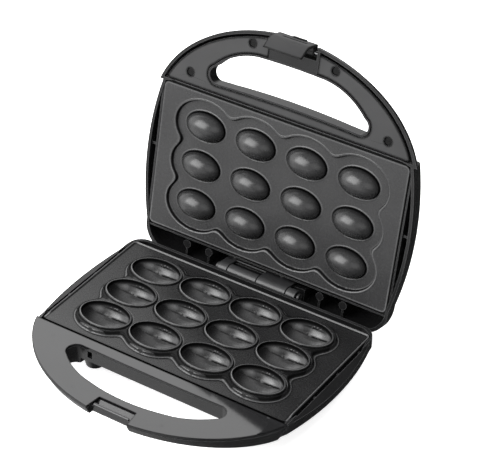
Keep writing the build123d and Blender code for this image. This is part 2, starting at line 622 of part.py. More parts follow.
with BuildPart() as lid_shell:
    add(lid_outer.part)
    add(lid_cavity.part, mode=Mode.SUBTRACT)
    add(lid_ribs.part)
    add(extrude(opening_face(-60, 0), 120, mode=Mode.PRIVATE), mode=Mode.SUBTRACT)
    # seat of the handle cover
    with BuildSketch(Plane.XY.offset(-4)) as s:
        add(handle_face(0, WALL))
        with Locations((0, -64.0)):
            Rectangle(2 * (BODY_X - 2.4), 8)
        with Locations((0, 40)):
            Rectangle(300, 208.4, mode=Mode.SUBTRACT)
        add(opening_face(0, 1.5), mode=Mode.SUBTRACT)
    extrude(amount=4 + LID_COVER_Z + COVER_T + 0.05, mode=Mode.SUBTRACT)
    # pocket for the flange of the plate
    with BuildSketch(Plane.XY.offset(-4)) as s:
        RectangleRounded(PLATE_W + 0.3, PLATE_D + 0.3, PLATE_R)
    extrude(amount=4 + LID_DECK_Z, mode=Mode.SUBTRACT)
    # latch bay
    with Locations((0, -125, 4.7)):
        Box(2 * LATCH_BAY, 16, 10.2, mode=Mode.SUBTRACT)
    for sx in (-1, 1):
        with BuildSketch(Plane.YZ.offset(sx * LATCH_BAY)) as s:
            with BuildLine():
                Polyline((-128.2, 2.9), (-128.2, 4.8), (-124.4, 11.0), (-108.4, 11.0), (-108.4, 2.9), (-128.2, 2.9))
            make_face()
        extrude(amount=sx * 2.2)
    with Locations((0, -113.0, 4.5)):
        Box(2 * LATCH_BAY + 4, 10.0, 3.2)
    with Locations((0, LATCH_Y, LATCH_Z)):
        Cylinder(LATCH_PIN_R + 0.02, 2 * LATCH_BAY + 6, rotation=(0, 90, 0), mode=Mode.SUBTRACT)
    # screw holes
    for x in (-SCREW_X, SCREW_X):
        for y in (-SCREW_Y, SCREW_Y):
            with Locations((x, y, 18)):
                Cylinder(1.75, 14, mode=Mode.SUBTRACT)
    for x, y in ((-89.5, -75.5), (89.5, -75.5), (-37, -115.5), (37, -115.5)):
        with Locations((x, y, 7)):
            Cylinder(1.3, 7, mode=Mode.SUBTRACT)
    for x in (-31.0, 13.75):
        with Locations((x, LEAF_Y + 5, 11.5)):
            Cylinder(1.3, 9, rotation=(90, 0, 0), mode=Mode.SUBTRACT)
    for x in (-16, 16):
        with Locations((x, -30, 36)):
            Cylinder(4.2, 30, mode=Mode.SUBTRACT)
nodes.append(("lid_shell", lid_shell.part, "lid"))

with BuildPart() as lid_handle_cover:
    with BuildSketch(Plane.XY.offset(LID_COVER_Z)) as s:
        add(handle_face(0, WALL + 2.2))
        with Locations((0, -64.0)):
            Rectangle(2 * (BODY_X - 4.6), 8)
        with Locations((0, 40)):
            Rectangle(300, 210.6, mode=Mode.SUBTRACT)
        add(opening_face(0, 2.1), mode=Mode.SUBTRACT)
        with Locations((0, -123)):
            Rectangle(2 * LATCH_BAY + 4.8, 40, mode=Mode.SUBTRACT)
    extrude(amount=COVER_T)
    for x, y in ((-89.5, -75.5), (89.5, -75.5), (-37, -115.5), (37, -115.5)):
        with Locations((x, y, 3.0)):
            Cylinder(3.1, 2.0, mode=Mode.SUBTRACT)
        with Locations((x, y, LID_COVER_Z)):
            Cylinder(1.6, 9, mode=Mode.SUBTRACT)
nodes.append(("lid_handle_cover", lid_handle_cover.part, "lid"))

with BuildPart() as lid_cover_screws:
    for x, y in ((-89.5, -75.5), (89.5, -75.5), (-37, -115.5), (37, -115.5)):
        with Locations((x, y, 6.4)):
            Cylinder(1.25, 5.6)
        with Locations((x, y, 3.63)):
            Cylinder(2.8, 0.7)
        with Locations((x, y, 3.3)):
            Box(4.4, 0.8, 0.7, mode=Mode.SUBTRACT)
nodes.append(("lid_cover_screws", lid_cover_screws.part, "lid"))

# ---------------------------------------------------------------- upper plate
dome_body = split(half_spheroid(DOME_A, DOME_B, DOME_Z), Plane.XY.offset(RECESS_Z + 1.2), keep=Keep.BOTTOM)
dome_hollow = half_spheroid(DOME_A - 2.2, DOME_B - 1.76, LID_GAP + 5.4)
with BuildPart() as upper_plate:
    with BuildSketch(Plane.XY.offset(LID_GAP)) as s:
        RectangleRounded(PLATE_W, PLATE_D, PLATE_R)
    extrude(amount=PLATE_T)
    extrude(scallop_face(LID_GAP + 2, 98 - 2.4, 55.5 - 2.4, 26.6, 21.2, 5.0), 3.4)
    extrude(scallop_face(LID_GAP - 1, 98, 55.5, 27.2, 22.0, 5.5), RECESS_Z - LID_GAP + 1, mode=Mode.SUBTRACT)
    for loc in nut_places():
        add(dome_body.moved(loc))
    for loc in nut_places():
        add(dome_hollow.moved(loc), mode=Mode.SUBTRACT)
    for x in (-SCREW_X, SCREW_X):
        for y in (-SCREW_Y, SCREW_Y):
            with Locations((x, y, 8.9)):
                Cylinder(3.8, 7.6)
            with Locations((x, y, 10.0)):
                Cylinder(1.25, 8, mode=Mode.SUBTRACT)
nodes.append(("upper_plate", upper_plate.part, "lid"))

UP_ELEMENT_Z = 13.0
with BuildPart() as upper_heating_element:
    with BuildLine() as path:
        FilletPolyline((96, ELEMENT_Y, UP_ELEMENT_Z), (-ELEMENT_X, ELEMENT_Y, UP_ELEMENT_Z),
                       (-ELEMENT_X, -ELEMENT_Y, UP_ELEMENT_Z), (96, -ELEMENT_Y, UP_ELEMENT_Z), radius=12)
    with BuildSketch(Plane(origin=(96, ELEMENT_Y, UP_ELEMENT_Z), x_dir=(0, 1, 0), z_dir=(-1, 0, 0))):
        Circle(ELEMENT_R)
    sweep()
nodes.append(("upper_heating_element", upper_heating_element.part, "lid"))

with BuildPart() as upper_element_terminals:
    for y in (-ELEMENT_Y, ELEMENT_Y):
        with Locations((98.05, y, UP_ELEMENT_Z)):
            Cylinder(2.6, 4, rotation=(0, 90, 0))
        with Locations((103.05, y, UP_ELEMENT_Z)):
            Cylinder(1.2, 6, rotation=(0, 90, 0))
nodes.append(("upper_element_terminals", upper_element_terminals.part, "lid"))

with BuildPart() as upper_heat_shield:
    with BuildSketch(Plane.XY.offset(17.0)) as s:
        RectangleRounded(190, 84, 6)
    extrude(amount=0.8)
    for x in (-60, 60):
        with Locations((x, 0, 17.4)):
            Cylinder(2.0, 3, mode=Mode.SUBTRACT)
nodes.append(("upper_heat_shield", upper_heat_shield.part, "lid"))

with BuildPart() as upper_element_saddles:
    for x in (-PITCH_X, 0, PITCH_X):
        for y in (-ELEMENT_Y, ELEMENT_Y):
            with Locations((x, y, 15.8)):
                Box(6, 9, 2.3)
            with Locations((x, y, UP_ELEMENT_Z)):
                Cylinder(ELEMENT_R + 0.05, 8, rotation=(0, 90, 0), mode=Mode.SUBTRACT)
nodes.append(("upper_element_saddles", upper_element_saddles.part, "lid"))

with BuildPart() as upper_plate_screws:
    for x in (-SCREW_X, SCREW_X):
        for y in (-SCREW_Y, SCREW_Y):
            with Locations((x, y, 15.6)):
                Cylinder(1.22, 12.0)
nodes.append(("upper_plate_screws", upper_plate_screws.part, "lid"))

for nm, x in (("power_lamp_lens", -16.0), ("ready_lamp_lens", 16.0)):
    with BuildPart() as lens:
        with Locations((x, -30, 37)):
            Cylinder(4.1, 9.0)
    nodes.append((nm, lens.part, "lid"))

# ---------------------------------------------------------------- latch
with BuildPart() as latch_lever:
    with BuildSketch(Plane.YZ) as s:
        with BuildLine():
            Polyline((-127.6, 6.9), (-129.4, 6.9), (-130.1, 6.2), (-130.9, -3.6))
            Spline((-130.9, -3.6), (-130.3, -7.9), (-128.1, -11.7), (-126.0, -14.2), (-124.3, -16.6), tangents=((-0.08, -1), (0.35, -1)))
            Polyline((-124.3, -16.6), (-123.8, -17.1), (-123.2, -16.9), (-123.1, -15.9), (-123.9, -14.3))
            Spline((-123.9, -14.3), (-126.2, -10.6), (-128.2, -7.0), (-128.7, -3.0), tangents=((-0.5, 1), (0.05, 1)))
            Polyline((-128.7, -3.0), (-127.6, 6.9))
        make_face()
    extrude(amount=LATCH_HALF, both=True)
    with BuildSketch(Plane.YZ) as s:
        with BuildLine():
            Polyline((-128.8, 6.4), (-129.2, 2.9), (LATCH_Y, 2.8), (LATCH_Y, 7.6), (-128.8, 6.4))
        make_face()
    extrude(amount=LATCH_HALF - 1, both=True)
    with Locations((0, LATCH_Y, LATCH_Z)):
        Cylinder(2.6, 2 * LATCH_HALF - 2, rotation=(0, 90, 0))
        Cylinder(LATCH_PIN_R + 0.06, 60, rotation=(0, 90, 0), mode=Mode.SUBTRACT)
    # thumb rib outside and a shallow line on the face
    with Locations((2, -130.4, 4.6)):
        Box(12, 1.2, 2.0)
    with Locations((1, -130.55, -1.2)):
        Box(21, 0.7, 0.9, mode=Mode.SUBTRACT)
nodes.append(("latch_lever", latch_lever.part, "lid"))

with BuildPart() as latch_pin:
    with Locations((0, LATCH_Y, LATCH_Z)):
        Cylinder(LATCH_PIN_R, 2 * LATCH_BAY + 3.4, rotation=(0, 90, 0))
nodes.append(("latch_pin", latch_pin.part, "lid"))

# ---------------------------------------------------------------- placing and export
hinge_axis = Axis((0, HINGE_Y, HINGE_Z), (1, 0, 0))
total = None
for name, shape, body in nodes:
    if body == "lid":
        shape = shape.rotate(hinge_axis, -OPEN_ANGLE)
    shape = shape.moved(Location((0, SHIFT_Y, SHIFT_Z)))
    shape.label = name
    export_step(shape, f"parts/{name}.step")
    bb = shape.bounding_box()
    total = bb if total is None else total.add(bb)
print("overall", total)
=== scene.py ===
from math import radians, pi, sqrt, sin, cos
import bpy
import bmesh
import numpy as np
from mathutils import Matrix, Vector


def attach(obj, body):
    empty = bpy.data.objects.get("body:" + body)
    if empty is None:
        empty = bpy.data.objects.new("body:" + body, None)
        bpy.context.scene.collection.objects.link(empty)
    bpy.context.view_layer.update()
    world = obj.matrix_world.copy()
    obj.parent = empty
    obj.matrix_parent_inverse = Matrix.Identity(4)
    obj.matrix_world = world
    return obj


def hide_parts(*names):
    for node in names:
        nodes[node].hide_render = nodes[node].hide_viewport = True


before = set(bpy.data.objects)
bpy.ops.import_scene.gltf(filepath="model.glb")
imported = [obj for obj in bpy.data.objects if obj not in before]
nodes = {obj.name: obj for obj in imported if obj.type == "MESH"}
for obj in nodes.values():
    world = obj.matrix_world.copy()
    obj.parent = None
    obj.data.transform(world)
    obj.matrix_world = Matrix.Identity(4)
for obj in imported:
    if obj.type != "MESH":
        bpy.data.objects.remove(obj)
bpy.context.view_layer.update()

scene = bpy.context.scene

# ------------------------------------------------------------------ frame of the drawing, closed lid (mm)
SHIFT_Y, SHIFT_Z = -6.69, 31.5
HINGE_Y, HINGE_Z = 74.45, -2.3
OPEN = radians(102.1)
TO_M = Matrix.Scale(0.001, 4)
BASE_M = TO_M @ Matrix.Translation((0, SHIFT_Y, SHIFT_Z))
LID_M = BASE_M @ Matrix.Translation((0, HINGE_Y, HINGE_Z)) @ Matrix.Rotation(-OPEN, 4, "X") @ Matrix.Translation((0, -HINGE_Y, -HINGE_Z))

# ------------------------------------------------------------------ camera
cam_data = bpy.data.cameras.new("camera")
cam = bpy.data.objects.new("camera", cam_data)
scene.collection.objects.link(cam)
cam_data.sensor_fit = "HORIZONTAL"
cam_data.sensor_width = 36.0
cam_data.lens = 2092.25 / 478.0 * 36.0
right = Vector((0.83369746, 0.55216034, 0.00821606)).normalized()
fwd = Vector((-0.44554994, 0.68136909, -0.58070768)).normalized()
up = right.cross(fwd).normalized()
rot = Matrix((right, up, -fwd)).transposed()
cam.matrix_world = Matrix.Translation(Vector((715.754, -1048.895 + SHIFT_Y, 991.636 + SHIFT_Z)) * 0.001) @ rot.to_4x4()
cam_data.clip_start, cam_data.clip_end = 0.05, 50.0
scene.camera = cam


# ------------------------------------------------------------------ materials
def new_mat(name):
    m = bpy.data.materials.new(name)
    m.use_nodes = True
    nt = m.node_tree
    nt.nodes.clear()
    out = nt.nodes.new("ShaderNodeOutputMaterial")
    b = nt.nodes.new("ShaderNodeBsdfPrincipled")
    nt.links.new(b.outputs[0], out.inputs[0])
    return m, nt, b


def noise(nt, coord, scale, detail=4.0, rough=0.55):
    n = nt.nodes.new("ShaderNodeTexNoise")
    n.inputs["Scale"].default_value = scale
    n.inputs["Detail"].default_value = detail
    n.inputs["Roughness"].default_value = rough
    nt.links.new(coord, n.inputs["Vector"])
    return n


def ramp(nt, fac, stops):
    r = nt.nodes.new("ShaderNodeValToRGB")
    el = r.color_ramp.elements
    while len(el) < len(stops):
        el.new(0.5)
    for e, (p, c) in zip(el, stops):
        e.position = p
        e.color = (c[0], c[1], c[2], 1.0)
    nt.links.new(fac, r.inputs["Fac"])
    return r


def maprange(nt, val, a, b, c, d):
    n = nt.nodes.new("ShaderNodeMapRange")
    n.inputs["From Min"].default_value = a
    n.inputs["From Max"].default_value = b
    n.inputs["To Min"].default_value = c
    n.inputs["To Max"].default_value = d
    nt.links.new(val, n.inputs["Value"])
    return n


def bump(nt, height, strength, dist, normal=None):
    n = nt.nodes.new("ShaderNodeBump")
    n.inputs["Strength"].default_value = strength
    n.inputs["Distance"].default_value = dist
    nt.links.new(height, n.inputs["Height"])
    if normal is not None:
        nt.links.new(normal, n.inputs["Normal"])
    return n


def surface(name, dark, light, rough, rough_var=0.05, grain=1400.0, grain_h=0.00002, metallic=0.0, ior=1.5, coat=0.0,
            coat_rough=0.1, blotch=35.0, speck=None, spec=0.5, lines=False, seam=0.0, seam_mm=1.4, edge=0.0, edge_mm=0.7,
            edge_tint=(0.001, 0.001, 0.001), edge_at=(0.90, 0.985)):
    """Moulded, coated or cast surface: faint colour blotches, a fine grain bump and uneven gloss."""
    m, nt, b = new_mat(name)
    tc = nt.nodes.new("ShaderNodeTexCoord").outputs["Object"]
    big = noise(nt, tc, blotch, 3.0, 0.5)
    col = ramp(nt, big.outputs["Fac"], ((0.35, dark), (0.65, light)))
    src = col.outputs["Color"]
    if speck is not None:
        sp = noise(nt, tc, speck[0], 1.0, 0.4)
        sr = ramp(nt, sp.outputs["Fac"], ((speck[1], (0, 0, 0)), (speck[1] + 0.05, (1, 1, 1))))
        mix = nt.nodes.new("ShaderNodeMix")
        mix.data_type = "RGBA"
        nt.links.new(sr.outputs["Color"], mix.inputs["Factor"])
        nt.links.new(src, mix.inputs["A"])
        mix.inputs["B"].default_value = (*speck[2], 1.0)
        src = mix.outputs["Result"]
    b.inputs["Specular IOR Level"].default_value = spec
    if lines:
        # painted shade in crevices and hollows, painted highlights on arrises and a painted sheen, stored on the
        # relief's points
        painted_shade = nt.nodes.new("ShaderNodeAttribute")
        painted_shade.attribute_name = "painted_shade_mark"
        arris = nt.nodes.new("ShaderNodeAttribute")
        arris.attribute_name = "arris"
        painted_sheen = nt.nodes.new("ShaderNodeAttribute")
        painted_sheen.attribute_name = "painted_sheen"
        for att, tint in ((painted_sheen, (0.085, 0.085, 0.086)), (arris, (0.17, 0.17, 0.172)), (painted_shade, (0.001, 0.001, 0.001))):
            mx = nt.nodes.new("ShaderNodeMix")
            mx.data_type = "RGBA"
            nt.links.new(att.outputs["Fac"], mx.inputs["Factor"])
            nt.links.new(src, mx.inputs["A"])
            mx.inputs["B"].default_value = (*tint, 1.0)
            src = mx.outputs["Result"]
        sp2 = maprange(nt, painted_shade.outputs["Fac"], 0.0, 0.8, spec, 0.0)
        nt.links.new(sp2.outputs[0], b.inputs["Specular IOR Level"])
    painted_line_spec = None
    if edge > 0:
        # painted light along every sharp edge: a thin line of painted shade, or of painted highlight where edge_tint is
        # pale
        soft = nt.nodes.new("ShaderNodeBevel")
        soft.samples = 6
        soft.inputs["Radius"].default_value = edge_mm * 0.001
        geo = nt.nodes.new("ShaderNodeNewGeometry")
        dot = nt.nodes.new("ShaderNodeVectorMath")
        dot.operation = "DOT_PRODUCT"
        nt.links.new(soft.outputs["Normal"], dot.inputs[0])
        nt.links.new(geo.outputs["True Normal"], dot.inputs[1])
        ln = maprange(nt, dot.outputs["Value"], edge_at[0], edge_at[1], edge, 0.0)
        mx = nt.nodes.new("ShaderNodeMix")
        mx.data_type = "RGBA"
        nt.links.new(ln.outputs[0], mx.inputs["Factor"])
        nt.links.new(src, mx.inputs["A"])
        mx.inputs["B"].default_value = (*edge_tint, 1.0)
        src = mx.outputs["Result"]
        if edge_tint[0] < 0.01:
            # a dark painted line also loses its shine
            painted_line_spec = maprange(nt, ln.outputs[0], 0.0, 1.0, 1.0, 0.05).outputs[0]
    if seam > 0:
        # joints and inner corners collect no light
        # the darkening is painted shade, in colour and shine, from ambient occlusion
        ao = nt.nodes.new("ShaderNodeAmbientOcclusion")
        ao.samples = 8
        ao.only_local = False
        ao.inputs["Distance"].default_value = seam_mm * 0.001
        occlusion_shade = maprange(nt, ao.outputs["AO"], 0.35, 0.80, 1.0 - seam, 1.0)
        mx = nt.nodes.new("ShaderNodeMix")
        mx.data_type = "RGBA"
        nt.links.new(occlusion_shade.outputs[0], mx.inputs["Factor"])
        mx.inputs["A"].default_value = (0.0008, 0.0008, 0.0008, 1.0)
        nt.links.new(src, mx.inputs["B"])
        src = mx.outputs["Result"]
        gs = nt.nodes.new("ShaderNodeMath")
        gs.operation = "MULTIPLY"
        nt.links.new(occlusion_shade.outputs[0], gs.inputs[0])
        gs.inputs[1].default_value = spec
        shine = gs
        if painted_line_spec is not None:
            shine = nt.nodes.new("ShaderNodeMath")
            shine.operation = "MULTIPLY"
            nt.links.new(gs.outputs[0], shine.inputs[0])
            nt.links.new(painted_line_spec, shine.inputs[1])
        nt.links.new(shine.outputs[0], b.inputs["Specular IOR Level"])
    nt.links.new(src, b.inputs["Base Color"])
    b.inputs["Metallic"].default_value = metallic
    b.inputs["IOR"].default_value = ior
    b.inputs["Coat Weight"].default_value = coat
    b.inputs["Coat Roughness"].default_value = coat_rough
    fine = noise(nt, tc, grain, 3.0, 0.6)
    mid = noise(nt, tc, grain * 0.12, 3.0, 0.6)
    r = maprange(nt, mid.outputs["Fac"], 0.3, 0.7, rough - rough_var, rough + rough_var)
    nt.links.new(r.outputs[0], b.inputs["Roughness"])
    n1 = bump(nt, fine.outputs["Fac"], 0.5, grain_h)
    nt.links.new(n1.outputs[0], b.inputs["Normal"])
    return m


MAT = {
    # the shell's pale edge_tint paints a highlight along its sharp edges
    "shell": surface("shell_plastic", (0.0060, 0.0060, 0.0063), (0.0080, 0.0080, 0.0083), 0.24, 0.02, 2200, 0.000004, seam=0.95, edge=0.45, edge_mm=0.6,
                     edge_tint=(0.12, 0.12, 0.122)),
    # painted light: the two covers are one plastic, and the lid cover is given a lighter base colour than the base
    # cover
    "cover": surface("cover_plastic", (0.011, 0.011, 0.0115), (0.013, 0.013, 0.0135), 0.03, 0.006, 1800, 0.0000003, seam=0.9, edge=0.95, edge_mm=1.5, edge_at=(0.93, 0.995)),
    "lid_cover": surface("lid_cover_plastic_painted_lighter", (0.024, 0.024, 0.0245), (0.028, 0.028, 0.0285), 0.32, 0.03, 1800, 0.000004, seam=1.0, seam_mm=2.4, edge=1.0, edge_mm=3.0,
                         edge_at=(0.976, 0.998)),
    # painted light: both plates have one coating, and the upper plate is given a lighter base colour than the lower one
    "plate": surface("nonstick_coating", (0.0075, 0.0075, 0.0078), (0.0095, 0.0095, 0.0098), 0.27, 0.015, 2600, 0.000003, spec=0.5, lines=True),
    "upper_plate": surface("nonstick_coating_upper_painted_lighter", (0.021, 0.021, 0.0215), (0.025, 0.025, 0.0255), 0.27, 0.015, 2600, 0.000003, lines=True),
    # painted shade: the lid cover's screws are near-black, for the shade of their deep recesses
    "screw": surface("cover_screw", (0.002, 0.002, 0.002), (0.004, 0.004, 0.004), 0.45, 0.04, 900, 0.00001, spec=0.18),
    "hinge": surface("hinge_metal", (0.018, 0.018, 0.0185), (0.024, 0.024, 0.025), 0.38, 0.04, 1500, 0.00001, seam=0.9),
    "steel": surface("plain_steel", (0.42, 0.42, 0.43), (0.52, 0.52, 0.53), 0.32, 0.06, 900, 0.00002, metallic=1.0),
    "dark_steel": surface("black_steel", (0.05, 0.05, 0.05), (0.09, 0.09, 0.09), 0.35, 0.05, 900, 0.00002, metallic=0.8),
    "rubber": surface("rubber", (0.012, 0.012, 0.012), (0.02, 0.02, 0.02), 0.75, 0.06, 1600, 0.00004),
    "latch": surface("latch_plastic", (0.024, 0.024, 0.0245), (0.029, 0.029, 0.0295), 0.36, 0.03, 1800, 0.000004, spec=0.22, seam=0.9, edge=0.9, edge_mm=2.0,
                     edge_at=(0.965, 0.999)),
    "ceramic": surface("terminal_plastic", (0.62, 0.61, 0.57), (0.72, 0.71, 0.67), 0.5, 0.06, 700, 0.00003),
    "wire": surface("sleeved_wire", (0.55, 0.53, 0.48), (0.66, 0.64, 0.6), 0.7, 0.05, 2500, 0.00006),
    "lamp_red": surface("lamp_red", (0.32, 0.015, 0.012), (0.40, 0.025, 0.02), 0.12, 0.02, 1000, 0.00001, coat=0.5),
    "lamp_green": surface("lamp_green", (0.02, 0.22, 0.04), (0.03, 0.30, 0.06), 0.12, 0.02, 1000, 0.00001, coat=0.5),
}
NODE_MAT = {
    "base_shell": "shell", "foot_pads": "rubber", "base_handle_cover": "cover", "base_cover_screws": "steel",
    "lower_plate": "plate", "lower_heating_element": "dark_steel", "lower_element_terminals": "steel",
    "lower_heat_shield": "steel", "lower_element_saddles": "steel", "lower_plate_screws": "steel", "thermostat": "ceramic",
    "thermal_fuse": "steel", "terminal_block": "ceramic", "cord_inlet_bush": "rubber", "base_wiring": "wire",
    "base_hinge_bracket": "hinge", "hinge_pin": "hinge", "base_hinge_screws": "dark_steel", "lid_hinge_bracket": "hinge",
    "lid_hinge_screws": "dark_steel", "lid_shell": "shell", "lid_handle_cover": "lid_cover", "lid_cover_screws": "screw",
    "upper_plate": "upper_plate", "upper_heating_element": "dark_steel", "upper_element_terminals": "steel",
    "upper_heat_shield": "steel", "upper_element_saddles": "steel", "upper_plate_screws": "steel",
    "power_lamp_lens": "lamp_red", "ready_lamp_lens": "lamp_green", "latch_lever": "latch", "latch_pin": "steel",
}
for name, ob in nodes.items():
    ob.data.materials.clear()
    ob.data.materials.append(MAT[NODE_MAT[name]])

# soft edges on the moulded and machined pieces
BEVEL = {"base_shell": 0.35, "base_handle_cover": 0.4, "lid_shell": 0.35, "lid_handle_cover": 0.4, "latch_lever": 0.3,
         "base_hinge_bracket": 0.35, "lid_hinge_bracket": 0.35, "hinge_pin": 0.3, "lid_cover_screws": 0.12,
         "foot_pads": 0.3, "cord_inlet_bush": 0.4, "power_lamp_lens": 0.8, "ready_lamp_lens": 0.8}
for name, w in BEVEL.items():
    ob = nodes[name]
    weld = ob.modifiers.new("weld", "WELD")
    weld.merge_threshold = 0.00001
    bv = ob.modifiers.new("edges", "BEVEL")
    bv.width = w * 0.001
    bv.segments = 2
    bv.limit_method = "ANGLE"
    bv.angle_limit = radians(38)
    bv.harden_normals = False
    wn = ob.modifiers.new("normals", "WEIGHTED_NORMAL")
    wn.keep_sharp = True


# ------------------------------------------------------------------ plates as relief meshes
PLATE_W, PLATE_D, PLATE_R, PLATE_T = 224.0, 124.4, 4.5, 3.0
PITCH_X, PITCH_Y = 46.9, 33.9
CX = np.array([(i - 1.5) * PITCH_X for i in range(4)])
CY = np.array([(j - 1) * PITCH_Y for j in range(3)])
CUP_A, CUP_B, CUP_Z, CUP_WALL = 21.0, 14.0, 4.3, 2.4
DOME_A, DOME_B, DOME_Z = 18.0, 12.0, 7.0
LID_GAP, RECESS_Z, PLATEAU_Z = 2.24, 5.0, 3.0


def sstep(a, b, x):
    t = np.clip((x - a) / (b - a), 0, 1)
    return t * t * (3 - 2 * t)


def ell_dist(x, y, a, b):
    """First-order signed distance to an ellipse, negative inside."""
    q = np.sqrt((x / a) ** 2 + (y / b) ** 2)
    g = np.sqrt((x / a ** 2) ** 2 + (y / b ** 2) ** 2)
    return (q - 1) * q / np.maximum(g, 1e-6)


def smin(a, b, r):
    h = np.maximum(r - np.abs(a - b), 0)
    return np.minimum(a, b) - h * h / (4 * r)


def box_dist(x, y, hx, hy, r):
    dx, dy = np.abs(x) - hx + r, np.abs(y) - hy + r
    return np.hypot(np.maximum(dx, 0), np.maximum(dy, 0)) + np.minimum(np.maximum(dx, dy), 0) - r


def scallop_dist(X, Y, hx, hy, a, b, r):
    d = box_dist(X, Y, hx, hy, 4.0)
    for cx in CX:
        for cy in CY:
            d = smin(d, ell_dist(X - cx, Y - cy, a, b), r)
    return d


def grid(nx, ny):
    """Grid over the plate with its corners mapped onto round ones."""
    hx, hy, r = PLATE_W / 2, PLATE_D / 2, PLATE_R
    x = np.linspace(-hx, hx, nx)
    y = np.linspace(-hy, hy, ny)
    X, Y = np.meshgrid(x, y)
    u = (np.abs(X) - (hx - r)) / r
    v = (np.abs(Y) - (hy - r)) / r
    c = (u > 0) & (v > 0)
    uu, vv = np.where(c, u, 0), np.where(c, v, 0)
    X2 = np.where(c, np.sign(X) * (hx - r + r * uu * np.sqrt(1 - vv ** 2 / 2)), X)
    Y2 = np.where(c, np.sign(Y) * (hy - r + r * vv * np.sqrt(1 - uu ** 2 / 2)), Y)
    return X2, Y2


def gather(X, Y, a, b):
    """Move the grid lines inside each ellipse outwards, so that the steep walls get more of them."""
    X, Y = X.copy(), Y.copy()
    for cx in CX:
        for cy in CY:
            q = np.sqrt(((X - cx) / a) ** 2 + ((Y - cy) / b) ** 2)
            k = np.where((q < 1) & (q > 1e-6), np.sin(np.minimum(q, 1) * pi / 2) / np.maximum(q, 1e-6), 1.0)
            X, Y = cx + (X - cx) * k, cy + (Y - cy) * k
    return X, Y


def edge_dist(X, Y):
    return -box_dist(X, Y, PLATE_W / 2, PLATE_D / 2, PLATE_R)


def walnut(x, y, seed):
    """Height of the cup wall at (x, y) from the cup's centre: a spheroid with the shell's relief."""
    q = np.clip(1 - (x / CUP_A) ** 2, 1e-4, 1)
    R = CUP_B * np.sqrt(q)
    r = R.copy()
    u = x / CUP_A
    for _ in range(4):
        phi = np.degrees(np.arcsin(np.clip(y / np.maximum(r, 1e-3), -1, 1)))
        h = relief(u, x, phi, seed)
        r = R - h
    return CUP_Z - np.sqrt(np.maximum(r * r - y * y, 0.0))


def lens(u, u0, u1, p):
    t = np.clip((u - u0) / (u1 - u0), 0, 1)
    return np.sin(np.pi * t) ** p


def relief(u, x, phi, seed):
    """Relief towards the inside of the cup. phi is the angle from the bottom, across the nut."""
    h = np.zeros_like(x)
    for s in (1, -1):
        p = s * phi
        # long seam: a sharp step along phi = 41.5 with a band of small cells below it
        lo = 41.5 - 15.5 * lens(u, -0.86, 0.72, 0.7)
        inside = sstep(-0.9, 0.3, p - lo) * (1 - sstep(-0.5, 0.4, p - 41.5)) * sstep(-0.88, -0.70, u) * (1 - sstep(0.60, 0.74, u))
        depth = np.clip((p - lo) / np.maximum(41.5 - lo, 0.5), 0, 1)
        h += -(0.10 + 0.45 * depth ** 1.5) * inside
        cells = np.sin(x * 2 * np.pi / 1.45 + p * 0.55) * np.sin((p - lo) * 2 * np.pi / 7.0)
        h += 0.07 * cells * inside * sstep(-0.62, -0.3, u) * (1 - sstep(0.35, 0.6, u))
        # slit under the rim with a toothed lip above it
        up_ = 66.5 + 9.5 * lens(u, -0.50, 0.58, 0.8)
        band = sstep(-0.8, 0.6, p - 66.5) * (1 - sstep(-0.6, 0.8, p - up_)) * lens(u, -0.50, 0.58, 0.5)
        t = np.clip((p - 66.5) / np.maximum(up_ - 66.5, 0.5), 0, 1)
        h += (-0.9 * (1 - sstep(0.10, 0.55, t)) + 0.20 * np.sin(np.pi * np.clip((t - 0.35) / 0.65, 0, 1))) * band
    return h


def lower_top(X, Y):
    Z = np.zeros_like(X)
    e = edge_dist(X, Y)
    # rounded arris
    Z -= 0.5 * (1 - sstep(0.0, 0.5, e))
    # upstand along the sides and the rear
    m = sstep(-54, -50, Y)
    Z = Z + m * 1.15 * (sstep(0.45, 1.0, e) - sstep(1.5, 2.2, e))
    d = scallop_dist(X, Y, 84, 41.5, 25.2, 20.0, 7.0)
    Z = Z + (PLATEAU_Z - Z) * (1 - sstep(-0.9, 0.35, d))
    for j, cy in enumerate(CY):
        for i, cx in enumerate(CX):
            x, y = X - cx, Y - cy
            near = (np.abs(x) < 24) & (np.abs(y) < 17)
            xs, ys = x[near], y[near]
            dd = ell_dist(xs, ys, CUP_A, CUP_B)
            z = Z[near]
            # bead: rises quickly, rounded over, drops into the cup
            bead = PLATEAU_Z + (CUP_Z - PLATEAU_Z) * np.sqrt(np.clip(1 - (np.clip(dd - 0.35, 0, 9) / 1.35) ** 2.4, 0, 1))
            # thin groove outside the bead
            groove = -0.35 * np.exp(-((dd - 1.95) / 0.28) ** 2)
            z = np.where(dd < 1.75, np.maximum(z, bead), z) + groove * (dd > 1.2)
            w = walnut(xs, ys, i * 0.7 + j * 1.3)
            t = sstep(-0.45, 0.25, dd)
            w2 = np.minimum(w, CUP_Z)
            z = np.where(dd < 0.25, w2 * (1 - t) + z * t, z)
            Z[near] = z
    return Z


def gauss(v, c, w):
    return np.exp(-((v - c) / w) ** 2)


